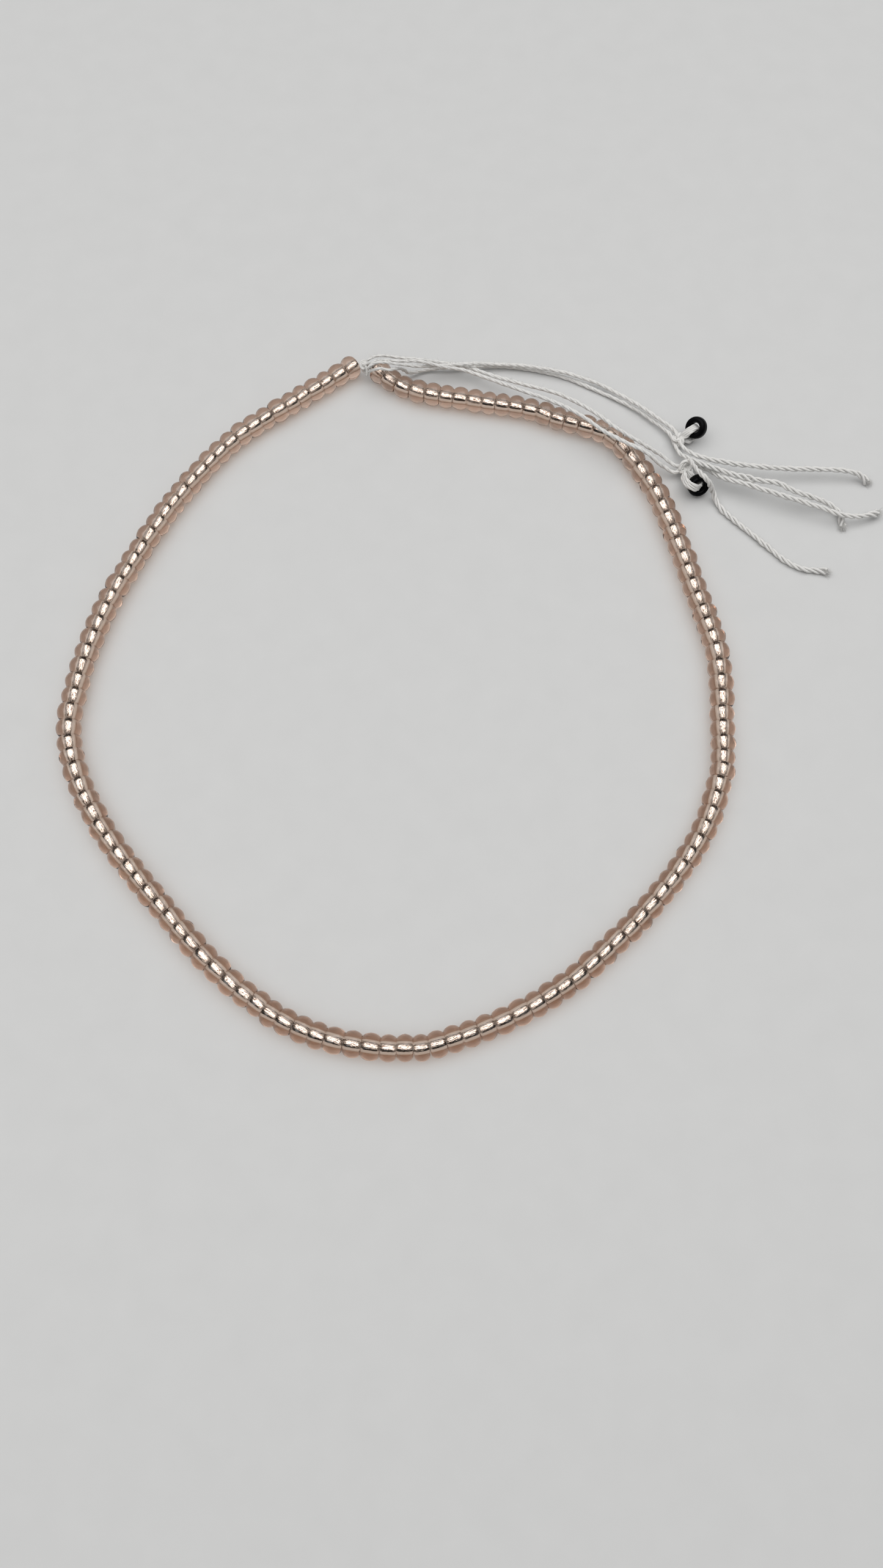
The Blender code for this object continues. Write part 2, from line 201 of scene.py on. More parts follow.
for which, points in STRANDS.items():
    strand_lines[which] = evenly_spaced(smooth_line([Vector(point) * MM for point in points]), THREAD_STEP)
    print(which, f"strand: {distances_along(strand_lines[which])[-1] / MM:.1f} mm long")

# %% [markdown]
# ## Twisted thread
# Sewing thread is spun from plies that wind round each other, and at this distance the grooves between them
# show. A round tube with a bump map would keep a smooth outline, so each ply is a tube of its own that
# circles the strand's line. The helper below adds one tube to a mesh. It also writes a UV map in metres,
# round the tube and along it, which the thread's fibres will follow. Spun thread is never even: its plies
# swell and slacken from one millimetre to the next, which a smooth noise taken from the place in space
# gives without a list of numbers. Where a strand has been handled its plies stand apart: that is a swelling
# of the circle that they follow.

# %% Make tubes and plied thread
PLIES = 3
PLY_SIDES = 8
PLY_RADIUS = 0.31 * THREAD_DIAMETER
TWIST_LENGTH = 3.3 * MM  # of one whole turn of the plies
SWELLING_LENGTH = 0.9 * MM
PLY_SWELLS = 0.16
TWIST_SLACKENS = 0.45


def add_tube(shape, centres, radii, sides, closed=False):
    """Adds a tube through the centres to the mesh, with a UV map in metres round it and along it."""
    uv = shape.loops.layers.uv.verify()
    distances = distances_along([*centres, centres[0]])
    rings = []
    for centre, radius, (side, up) in zip(centres, radii, across(centres, closed)):
        angles = [2 * math.pi * i / sides for i in range(sides)]
        outwards = [math.cos(a) * side + math.sin(a) * up for a in angles]
        rings.append([shape.verts.new(centre + radius * out) for out in outwards])
    if closed:
        # The last ring meets the first one where their corners lie nearest to each other
        shift = min(range(sides), key=lambda i: (rings[0][i].co - rings[-1][0].co).length)
        rings.append(rings[0][shift:] + rings[0][:shift])
    round_it = 2 * math.pi * max(radii) / sides
    for i, (near, far) in enumerate(zip(rings, rings[1:])):
        for j in range(sides):
            k = (j + 1) % sides
            face = shape.faces.new((near[j], near[k], far[k], far[j]))
            face.smooth = True
            corners = ((j, i), (j + 1, i), (j + 1, i + 1), (j, i + 1))
            for loop, (turn, ring) in zip(face.loops, corners):
                loop[uv].uv = (turn * round_it, distances[ring])
    if not closed:
        shape.faces.new(rings[0][::-1])
        shape.faces.new(rings[-1])


def add_plied_thread(shape, line, diameter, spread=None, slim=None, closed=False):
    """Adds a thread of twisted plies above the table. spread and slim change it along its length."""
    distances = distances_along(line)
    turns = distances[-1] / TWIST_LENGTH
    if closed:
        turns = max(1, round(turns))  # so that each ply meets itself
    thickness = diameter / THREAD_DIAMETER
    sides = across(line, closed)
    for ply in range(PLIES):
        centres, radii = [], []
        for point, distance, (side, up) in zip(line, distances, sides):
            angle = 2 * math.pi * (turns * distance / distances[-1] + ply / PLIES)
            apart = spread(distance, ply) if spread else 1
            share = slim(distance) if slim else 1
            unevenness = noise.noise(point / SWELLING_LENGTH + Vector((0, 0, 5.5 * ply)))
            slack = 1 + TWIST_SLACKENS * unevenness
            radius = PLY_RADIUS * thickness * share * (1 + PLY_SWELLS * unevenness)
            reach = (THREAD_DIAMETER / 2 - PLY_RADIUS) * thickness * apart * share * slack
            centre = point + reach * (math.cos(angle) * side + math.sin(angle) * up)
            centre.z = max(centre.z, radius)
            centres.append(centre)
            radii.append(radius)
        add_tube(shape, centres, radii, PLY_SIDES, closed)


def finished_piece(name, shape, materials=()):
    """Turns the mesh being built into a piece of the scene that rides on the anklet."""
    mesh = bpy.data.meshes.new(name)
    shape.to_mesh(mesh)
    shape.free()
    for material in materials:
        mesh.materials.append(material)
    piece = bpy.data.objects.new(name, mesh)
    scene.collection.objects.link(piece)
    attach(piece, "root")
    print(f"{name}: {sum(len(p.vertices) - 2 for p in mesh.polygons)} triangles")
    return piece


print(f"a ply is {2 * PLY_RADIUS / MM:.2f} mm thick")

# %% [markdown]
# ## Frayed ends and fuzz
# A cut thread untwists: the last two millimetres of its plies spread, and single fibres fan out of them.
# Fibres also stand off along the whole strand, which gives the thread its soft edge. Blender's hair would
# be an easy way to make these, but hair isn't part of a mesh and is lost when a model is exported, so each
# fibre is a very thin tube with a slight curl. All the chances come from one generator with a fixed seed,
# so the fibres lie the same way each time the script runs.

# %% Add loose fibres
FIBRE_RADIUS = 0.014 * MM
FIBRE_SIDES = 4
FIBRE_STEPS = 6
FIBRE_ROOT = 0.4 * THREAD_DIAMETER  # how far from the thread's middle a fibre starts
FRAY_LENGTH = 2.2 * MM
FRAYED_FIBRES = 150
FRAY_STARTS = (0.1, 0.75)  # where fibres leave the plies, as shares of the frayed length
FRAY_SPREADS = (0.02, 0.3)  # how far they lean aside for each step on
FRAY_REACHES = (0.1, 0.8)  # mm past the cut
FRAY_CURL = 0.35
FUZZ_EVERY = 0.11 * MM
FUZZ_LENGTHS = (0.15, 0.55)  # mm
FUZZ_LEANS = 1.6  # along the thread for each step out of it
FUZZ_CURL = 1.8
chance = random.Random(5)


def random_direction():
    """Any direction at all, as one step long."""
    return Vector([chance.gauss(0, 1) for _ in range(3)]).normalized()


def add_fibre(shape, start, heading, length, curl):
    """Adds one loose fibre that sets off along the heading and curls. It never goes through the table."""
    heading = heading.normalized()
    bend = random_direction() * curl
    centres, place = [start], start.copy()
    for _ in range(FIBRE_STEPS):
        heading = (heading + bend / FIBRE_STEPS).normalized()
        place = place + heading * length / FIBRE_STEPS
        place.z = max(place.z, 2 * FIBRE_RADIUS)
        centres.append(place.copy())
    radii = [FIBRE_RADIUS * (1 - 0.5 * i / FIBRE_STEPS) for i in range(FIBRE_STEPS + 1)]
    add_tube(shape, centres, radii, FIBRE_SIDES)


def add_frayed_end(shape, line):
    """Fans fibres out of the last stretch of the thread."""
    heading = (line[-1] - line[-4]).normalized()
    last = len(line) - 1
    step = (line[-1] - line[-2]).length
    for _ in range(FRAYED_FIBRES):
        back = chance.uniform(*FRAY_STARTS) * FRAY_LENGTH
        start = line[last - round(back / step)] + random_direction() * FIBRE_ROOT
        start.z = max(start.z, 2 * FIBRE_RADIUS)
        aim = heading + random_direction() * chance.uniform(*FRAY_SPREADS)
        add_fibre(shape, start, aim, back + chance.uniform(*FRAY_REACHES) * MM, FRAY_CURL)


def add_fuzz(shape, line):
    """Lets fibres stand off all along the thread, most of them leaning along it."""
    points = evenly_spaced(line, FUZZ_EVERY)
    for point, beyond in zip(points, points[1:]):
        out = random_direction()
        out.z = abs(out.z)
        aim = out + (beyond - point).normalized() * chance.uniform(-FUZZ_LEANS, FUZZ_LEANS)
        start = point + out * FIBRE_ROOT
        start.z = max(start.z, 2 * FIBRE_RADIUS)
        add_fibre(shape, start, aim, chance.uniform(*FUZZ_LENGTHS) * MM, FUZZ_CURL)


print(f"fibres are {2 * FIBRE_RADIUS / MM:.3f} mm thick, with {FRAYED_FIBRES} in each frayed end")

# %% [markdown]
# ## The four strands
# Each strand is now one mesh: plies, fuzz and frayed end. Where the strands leave the gap they are pulled
# tight, so they start thin and reach their full thickness a little further on. Past the knots nothing pulls
# on them, so the plies of the tails lie looser. One of the upper tails has a place some 12 mm past its knot
# where they were teased apart, and it gets a swelling there. Each strand replaces the two CAD tubes that hold
# its place.

# %% Make the strands
LOOSENED_AT = {"upper_right": 58.0 * MM}
LOOSENED_LENGTH = 0.9 * MM
LOOSENED_SWELLS = 1.6
TAIL_LENGTH = 25 * MM
TAIL_LOOSER = 0.95
TAIL_LOOSENS_OVER = 5 * MM
FRAYED_APART = (0.9, 1.6, 2.3)  # how much further apart each ply stands at the cut
SHARE_AT_GAP = 0.66
FULL_FROM = 14 * MM


def how_far_apart(which, length):
    """How far apart a strand's plies stand at each distance along it: 1 is closely twisted."""
    loosened_at = LOOSENED_AT.get(which)

    def spread(distance, ply):
        frayed = max(0.0, 1 - (length - distance) / FRAY_LENGTH)
        past_knot = min(1.0, max(0.0, (distance - length + TAIL_LENGTH) / TAIL_LOOSENS_OVER))
        apart = 1 + TAIL_LOOSER * past_knot + FRAYED_APART[ply] * frayed**1.5
        if loosened_at:
            apart += LOOSENED_SWELLS * math.exp(-(((distance - loosened_at) / LOOSENED_LENGTH) ** 2))
        return apart

    return spread


def pulled_thin(distance):
    """How thick a strand is at each distance along it, as a share of its full thickness."""
    return min(1.0, SHARE_AT_GAP + (1 - SHARE_AT_GAP) * distance / FULL_FROM)


strands = {}
for which, line in strand_lines.items():
    length = distances_along(line)[-1]
    shape = bmesh.new()
    add_plied_thread(shape, line, THREAD_DIAMETER, how_far_apart(which, length), pulled_thin)
    add_frayed_end(shape, line)
    add_fuzz(shape, line)
    level, hand = which.split("_")
    strand = finished_piece(f"{which}_strand", shape)
    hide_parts(f"{level}_tie_{hand}", f"{level}_tail_{hand}")
    strands[which] = strand

# %% [markdown]
# ## The string's route and its beads
# The string is a line through a few given points, as in the CAD model, and it is cut into beads whose
# lengths vary as those of real pressed seed beads do. The same seed gives the same lengths as the CAD model
# has, so each glass bead lies where its solid lies.

# %% Divide the string into beads
STRING_POINTS = [
    (-6.0, 44.7), (-14.4, 38.5), (-21.5, 33.0), (-27.6, 25.1), (-32.0, 17.2), (-36.4, 6.7), (-38.4, -3.0),
    (-38.4, -8.3), (-36.5, -14.1), (-32.4, -20.8), (-25.8, -28.7), (-18.5, -36.3), (-9.4, -42.2),
    (1.8, -44.0), (9.1, -42.2), (17.6, -38.1), (26.0, -31.1), (34.2, -21.3), (37.8, -12.7), (38.5, -4.5),
    (38.5, 3.0), (36.8, 10.1), (33.9, 21.2), (31.9, 26.5), (27.6, 33.2), (25.8, 34.4), (19.4, 36.6),
    (17.4, 37.5), (11.8, 38.6), (3.0, 40.2), (-0.1, 41.4), (-1.8, 42.6), (-3.4, 44.1),
]
BEAD_DIAMETER = 3.0 * MM
BEAD_LENGTH = 1.91 * MM
BEAD_LENGTH_SPREAD = 0.12

string_line = smooth_line([(x * MM, y * MM, BEAD_DIAMETER / 2) for x, y in STRING_POINTS])
string_length = distances_along(string_line)[-1]
length_chance = random.Random(8)
bead_count = round(string_length / BEAD_LENGTH)
shares = [1 + length_chance.uniform(-BEAD_LENGTH_SPREAD, BEAD_LENGTH_SPREAD) for _ in range(bead_count)]
bead_lengths = [string_length * share / sum(shares) for share in shares]
bead_ends = points_at(string_line, [sum(bead_lengths[:i]) for i in range(bead_count + 1)])
print(f"{bead_count} beads on a string of {string_length / MM:.0f} mm")

# %% [markdown]
# ## One glass bead
# A seed bead starts as a slice of glass tube and is tumbled in heat, so its ends melt round while its hole
# keeps its wall. In section that is a dome over the widest place, with an end face on either side that
# sinks a little towards the hole. A superellipse draws all such domes: an exponent of 2 gives an ellipse, a
# higher one a squarer bead, and a lower one leaves the clear notches between neighbours that the string
# has. Real beads vary. The end faces matter more than they seem to, because the dome's shoulders are seen
# through the glass as bright crescents, and the wider the end face, the fainter they are. The hole's wall
# is part of the same closed mesh, but it gets a material slot of its own, because silver lies right on the
# glass there. A separate lining tube would leave a gap or cut into the glass, and both of those look wrong
# inside a refracting body.

# %% Turn beads out of their section
HOLE_DIAMETER = 1.0 * MM
END_FACE_DIAMETER = 1.98 * MM
END_FACE_SINKS = 0.06 * MM  # towards the hole
BEAD_TURN_STEPS = 36
DOME_STEPS = 14
LINING_STEPS = 4
GLASS, LINING = 0, 1


def bead_section(length, squareness):
    """The closed outline of a bead's wall, as pairs of radius and place along the hole, dome first."""
    end_radius, dome_height = END_FACE_DIAMETER / 2, (BEAD_DIAMETER - END_FACE_DIAMETER) / 2
    dome = []
    for i in range(DOME_STEPS + 1):
        angle = math.pi * i / DOME_STEPS
        out = abs(math.sin(angle)) ** (2 / squareness)
        along = math.copysign(abs(math.cos(angle)) ** (2 / squareness), math.cos(angle))
        dome.append((end_radius + dome_height * out, length / 2 * along))
    wall_half = length / 2 - END_FACE_SINKS
    steps = range(LINING_STEPS + 1)
    wall = [(HOLE_DIAMETER / 2, -wall_half + 2 * wall_half * i / LINING_STEPS) for i in steps]
    return dome, wall


def add_bead(shape, place, length, squareness, size, tone):
    """Adds one bead with its hole along the place's X axis. size is its share of the usual diameter."""
    uv = shape.loops.layers.uv.verify()
    tone_layer = shape.verts.layers.float["tone"]
    dome, wall = bead_section(length, squareness)
    section = dome + wall
    angles = [2 * math.pi * i / BEAD_TURN_STEPS for i in range(BEAD_TURN_STEPS)]
    rings = []
    for radius, along in section:
        ring = []
        grown = radius * size if radius > HOLE_DIAMETER / 2 else radius  # the hole keeps its size
        for a in angles:
            vertex = shape.verts.new(place @ Vector((along, grown * math.cos(a), grown * math.sin(a))))
            vertex[tone_layer] = tone
            ring.append(vertex)
        rings.append(ring)
    travelled = [0.0]
    for (r1, a1), (r2, a2) in zip(section, section[1:] + section[:1]):
        travelled.append(travelled[-1] + math.hypot(r2 - r1, a2 - a1))
    round_it = math.pi * BEAD_DIAMETER / BEAD_TURN_STEPS
    for i, near in enumerate(rings):
        far = rings[(i + 1) % len(rings)]
        lined = len(dome) <= i < len(section) - 1
        for j in range(BEAD_TURN_STEPS):
            k = (j + 1) % BEAD_TURN_STEPS
            face = shape.faces.new((near[j], far[j], far[k], near[k]))
            face.smooth = True
            face.material_index = LINING if lined else GLASS
            for loop, (turn, ring) in zip(face.loops, ((j, i), (j, i + 1), (j + 1, i + 1), (j + 1, i))):
                loop[uv].uv = (turn * round_it + 10 * tone, travelled[ring])


print("faces in one bead:", BEAD_TURN_STEPS * (DOME_STEPS + LINING_STEPS + 2))

# %% [markdown]
# ## Stringing the beads
# Beads on a thread never line up perfectly. Each one is a little wider or narrower than the next, sits a
# few hundredths of a millimetre off the line and leans by a degree or two, and then it rolls down until it
# touches the table. They are strung so close that most neighbours touch, and where the string bends their
# end faces go a few hundredths of a millimetre into each other. The string goes into two pieces, because so
# many fine beads make a heavy mesh.

# %% String the beads
BEAD_GAP = 0.02 * MM
BEAD_LEANS_DEG = 1.3
BEAD_DRIFTS = 0.035 * MM
BEAD_SIZE_VARIES = 0.012
BEAD_SQUARENESS = (1.6, 1.85)
bead_chance = random.Random(21)


def bead_place(start, end, size):
    """Where a bead lies between its two ends: X along its hole, with a slight lean and drift."""
    along = (end - start).normalized()
    lean = [math.radians(bead_chance.gauss(0, BEAD_LEANS_DEG)) for _ in range(2)]
    drift = bead_chance.gauss(0, BEAD_DRIFTS)
    turn = math.atan2(along.y, along.x) + lean[0]
    middle = (start + end) / 2
    middle += Vector((-along.y, along.x, 0)) * drift
    middle.z = BEAD_DIAMETER / 2 * size
    tilt = Matrix.Rotation(lean[1], 4, "Y")
    roll = Matrix.Rotation(bead_chance.uniform(0, 2 * math.pi), 4, "X")
    return Matrix.Translation(middle) @ Matrix.Rotation(turn, 4, "Z") @ tilt @ roll


shapes = {"rose_beads_left": bmesh.new(), "rose_beads_right": bmesh.new()}
for shape in shapes.values():
    shape.verts.layers.float.new("tone")
for i, (start, end) in enumerate(zip(bead_ends, bead_ends[1:])):
    side = "rose_beads_left" if i < bead_count / 2 else "rose_beads_right"
    size = 1 + bead_chance.gauss(0, BEAD_SIZE_VARIES)
    squareness = bead_chance.uniform(*BEAD_SQUARENESS)
    length = (end - start).length - BEAD_GAP
    place = bead_place(start, end, size)
    add_bead(shapes[side], place, length, squareness, size, tone=bead_chance.random())
bead_pieces = {name: finished_piece(name, shape) for name, shape in shapes.items()}
for piece in bead_pieces.values():
    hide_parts("bead_string")

# %% [markdown]
# ## The thread inside the beads
# The silver lining hides the thread, but it shows in the kinks where two beads stand apart and where it
# comes out of the two end beads into the knot. One plain strand of plies runs through all the holes.

# %% Run the thread through the holes
END_KNOT_AT = Vector((-4.7, 44.1, 1.9)) * MM
INNER_THREAD_DIAMETER = 0.55 * MM
INNER_THREAD_STEP = 0.35 * MM  # coarser than outside, since the lining hides most of it
THROUGH_POINTS = 400
through_beads = evenly_spaced(string_line, string_length / THROUGH_POINTS)
inner_line = smooth_line([END_KNOT_AT, *through_beads, END_KNOT_AT], per_stretch=3)
inner_line = evenly_spaced(inner_line, INNER_THREAD_STEP)
shape = bmesh.new()
add_plied_thread(shape, inner_line, INNER_THREAD_DIAMETER)
inner_thread = finished_piece("inner_thread", shape)

# %% [markdown]
# ## The knots
# At the heart of an overhand knot is a trefoil: one closed loop with three crossings. The CAD model has
# that loop as a thin tube. Here the loop is drawn with two or three plied threads side by side, since every
# tie is doubled, and each knot is turned another way, so that no two look alike. The lower knot was never
# pulled tight, and a small loop of thread stands out of it. The knot in the gap has one short cut end.

# %% Tie the knots
KNOT_WIDTH = 1.7 * MM
KNOT_THREAD_DIAMETER = 0.46 * MM
KNOT_POINTS = 96


def knot_line(middle, turn, offset):
    """The closed line of a trefoil, shifted to one side by the offset, as a strand beside its twin is."""
    ring = (KNOT_WIDTH - KNOT_THREAD_DIAMETER) / 3
    swing = ring / 2
    line = []
    for i in range(KNOT_POINTS):
        t = 2 * math.pi * i / KNOT_POINTS
        reach = ring + (swing + offset) * math.cos(3 * t)
        height = (swing + offset) * math.sin(3 * t)
        line.append(middle + turn @ Vector((reach * math.cos(2 * t), reach * math.sin(2 * t), height)))
    return line


def tie_knot(name, middle, tilt, loops=(), diameter=KNOT_THREAD_DIAMETER, offsets=(-0.11, 0.13)):
    """Makes one knot of strands that lie side by side, each by its offset in mm, and of loose loops."""
    shape = bmesh.new()
    lean, round_it = (math.radians(angle) for angle in tilt)
    turn = Matrix.Rotation(lean, 3, "X") @ Matrix.Rotation(round_it, 3, "Z")
    for offset in offsets:
        add_plied_thread(shape, knot_line(middle, turn, offset * MM), diameter, closed=True)
    for loop in loops:
        line = smooth_line([Vector(point) * MM for point in loop])
        add_plied_thread(shape, evenly_spaced(line, THREAD_STEP), diameter)
    knot = finished_piece(f"{name}_of_thread", shape)
    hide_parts(name)
    return knot


UPPER_KNOT_AT = Vector((36.0, 33.4, 1.0)) * MM
LOWER_KNOT_AT = Vector((36.6, 28.7, 1.0)) * MM
LOWER_KNOT_LOOP = [
    (35.7, 28.6, 1.3), (35.9, 29.1, 1.9), (36.5, 29.4, 2.1), (37.1, 29.1, 2.0), (37.0, 28.6, 1.6),
    (36.6, 28.3, 1.2),
]
GAP_END = [(-4.7, 44.0, 2.2), (-4.6, 43.7, 2.3), (-4.5, 43.3, 1.9), (-4.5, 43.0, 1.4)]
GAP_THREAD_DIAMETER = 0.34 * MM  # it is pulled tight there
knots = {
    "end": tie_knot("end_knot", END_KNOT_AT, (62, 20), [GAP_END], GAP_THREAD_DIAMETER, (-0.16, 0.02, 0.19)),
    "upper": tie_knot("upper_knot", UPPER_KNOT_AT, (12, 45), [], 0.42 * MM, (-0.18, 0.0, 0.17)),
    "lower": tie_knot("lower_knot", LOWER_KNOT_AT, (-14, 80), [LOWER_KNOT_LOOP]),
}

# %% [markdown]
# ## The black beads
# Each tie goes through a black bead and round one side of its rim. The bead stands as that turn of thread
# holds it, so two directions say how it lies: the way its hole faces, and the way it is held. They give the
# bead's own axes, X towards the side that is held and Z out of its hole. The bead is turned from the
# outline of its wall, which is a superellipse: a little squarer than a plain ring, as a slice of tube is
# after it has been melted round.

# %% Set the black beads
BLACK_BEAD_DIAMETER = 2.8 * MM
BLACK_BEAD_LENGTH = 1.3 * MM
BLACK_BEAD_HOLE = 1.2 * MM
BLACK_BEAD_SQUARENESS = 2.5
BLACK_TURN_STEPS = 64
BLACK_SECTION_POINTS = 28
BLACK_BEADS = {
    "upper": {"middle": (38.1, 34.4, 2.1), "faces": (-0.61, -0.46, 0.64), "held": (-0.53, -0.36, -0.77)},
    "lower": {"middle": (37.9, 26.2, 1.5), "faces": (0.20, -0.86, 0.48), "held": (-0.87, 0.07, 0.49)},
}


def bead_axes(middle, faces, held):
    """The bead's own axes: X towards the side where its thread holds it, and Z out of its hole."""
    out_of_hole = Vector(faces).normalized()
    aside = out_of_hole.cross(Vector(held)).normalized()
    axes = Matrix((aside.cross(out_of_hole), aside, out_of_hole)).transposed()
    return Matrix.Translation(Vector(middle) * MM) @ axes.to_4x4()


def add_black_bead(shape, place):
    """Adds a round bead, turned from the closed outline of its wall."""
    uv = shape.loops.layers.uv.verify()
    middle = (BLACK_BEAD_DIAMETER + BLACK_BEAD_HOLE) / 4
    half = (BLACK_BEAD_DIAMETER - BLACK_BEAD_HOLE) / 4
    angles = [2 * math.pi * j / BLACK_TURN_STEPS for j in range(BLACK_TURN_STEPS)]
    rings = []
    for i in range(BLACK_SECTION_POINTS):
        round_wall = 2 * math.pi * i / BLACK_SECTION_POINTS
        out, along = math.cos(round_wall), math.sin(round_wall)
        out = math.copysign(abs(out) ** (2 / BLACK_BEAD_SQUARENESS), out)
        along = math.copysign(abs(along) ** (2 / BLACK_BEAD_SQUARENESS), along)
        radius, height = middle + half * out, BLACK_BEAD_LENGTH / 2 * along
        corners = [place @ Vector((radius * math.cos(a), radius * math.sin(a), height)) for a in angles]
        rings.append([shape.verts.new(corner) for corner in corners])
    for i in range(BLACK_SECTION_POINTS):
        near, far = rings[i], rings[(i + 1) % BLACK_SECTION_POINTS]
        for j in range(BLACK_TURN_STEPS):
            k = (j + 1) % BLACK_TURN_STEPS
            face = shape.faces.new((near[j], near[k], far[k], far[j]))
            face.smooth = True
            for loop, (turn, ring) in zip(face.loops, ((j, i), (j + 1, i), (j + 1, i + 1), (j, i + 1))):
                loop[uv].uv = (turn / BLACK_TURN_STEPS, ring / BLACK_SECTION_POINTS)


black_places = {which: bead_axes(**bead) for which, bead in BLACK_BEADS.items()}
black_beads = {}
for which, place in black_places.items():
    shape = bmesh.new()
    add_black_bead(shape, place)
    black_beads[which] = finished_piece(f"{which}_black_bead_round", shape)
    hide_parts(f"{which}_black_bead")

# %% [markdown]
# ## The turns of thread through the black beads
# A turn is a flat band of strands side by side, from the knot through the hole, round the rim and back to
# the knot. Its places are given in the bead's own axes, as shares of the way past the rim and past the end,
# so the band follows a bead that is turned or made larger. The upper bead's thread goes straight from the
# knot into its hole and comes back underneath. The lower bead hangs the other way round: its thread comes
# over the rim from behind and goes down into the hole.

# %% Turn the thread through the black beads
CLEARANCE = 0.02 * MM
TURN_OFFSETS = (-0.27 * MM, 0.0, 0.27 * MM)  # of the strands that lie side by side in a turn
TURN_THREAD_DIAMETER = 0.46 * MM
TURNS = {
    "upper": [
        (0.82, -0.11, 1.05), (0.64, -0.08, 1.03), (0.36, -0.05, 0.97), (0.02, -0.03, 0.50),
        (-0.06, 0.00, 0.00), (0.05, 0.03, -0.60), (0.42, 0.08, -1.00), (0.85, 0.12, -0.80),
        (1.00, 0.14, -0.30), (1.12, 0.15, 0.10),
    ],
    "lower": [
        (1.10, -0.02, -1.30), (1.06, 0.12, -0.50), (1.00, 0.16, 0.30), (0.74, 0.13, 0.90),
        (0.36, 0.08, 1.00), (0.00, 0.00, 0.50), (-0.06, 0.00, 0.00), (0.05, -0.05, -0.60),
        (0.25, -0.10, -1.10), (0.50, -0.20, -1.50),
    ],
}


def turn_line(places, knot, bead_place, aside):
    """One strand of a turn of thread, from the knot and back to it, moved aside."""
    beside_rim = BLACK_BEAD_DIAMETER / 2 + THREAD_DIAMETER / 2 + CLEARANCE
    past_end = BLACK_BEAD_LENGTH / 2 + THREAD_DIAMETER / 2 + CLEARANCE
    reach = Vector((beside_rim, beside_rim, past_end))
    round_it = [bead_place @ (reach * Vector(shares) + Vector((0, aside, 0))) for shares in places]
    return evenly_spaced(smooth_line([knot, *round_it, knot]), THREAD_STEP)


turns = {}
for which, knot in {"upper": UPPER_KNOT_AT, "lower": LOWER_KNOT_AT}.items():
    shape = bmesh.new()
    for aside in TURN_OFFSETS:
        line = turn_line(TURNS[which], knot, black_places[which], aside)
        add_plied_thread(shape, line, TURN_THREAD_DIAMETER)
    turns[which] = finished_piece(f"{which}_turn_of_thread", shape)
    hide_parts(f"{which}_bead_turn")

# %% [markdown]
# ## The free cords
# Each strand is a free cord: it leaves the string at the gap, has a real length and ends in a bare cut end.
# Below, each strand's length is worked out and the strands are listed by name. The knot, the turn and the
# black bead of a tie are on both of its strands.

for which, line in strand_lines.items():
    distances_along(line)[-1]
print("free cords:", ", ".join(strands))

# %% [markdown]
# ## Writing shader maths as sums
# A node tree for a material is easier to read when it is written as a formula. The class below wraps an
# output socket: adding, multiplying or subtracting wires makes the Math or Vector Math nodes that do it.
# Everything else comes from one method that makes any node from its type, its settings and its inputs.

# %% Wrap the shader sockets
class Wire:
    """An output socket that can be used in sums."""

    def __init__(self, finish, socket):
        self.finish, self.socket = finish, socket

    def _sum(self, operation, first, second):
        vectors = any(isinstance(x, Wire) and x.socket.type != "VALUE" for x in (first, second))
        kind = "ShaderNodeVectorMath" if vectors else "ShaderNodeMath"
        return self.finish.node(kind, {"operation": operation}, {0: first, 1: second})

    def __add__(self, other):
        return self._sum("ADD", self, other)

    def __radd__(self, other):
        return self._sum("ADD", other, self)

    def __sub__(self, other):
        return self._sum("SUBTRACT", self, other)

    def __rsub__(self, other):
        return self._sum("SUBTRACT", other, self)

    def __mul__(self, other):
        return self._sum("MULTIPLY", self, other)

    def __rmul__(self, other):
        return self._sum("MULTIPLY", other, self)

    def __pow__(self, power):
        return self._sum("POWER", self, power)


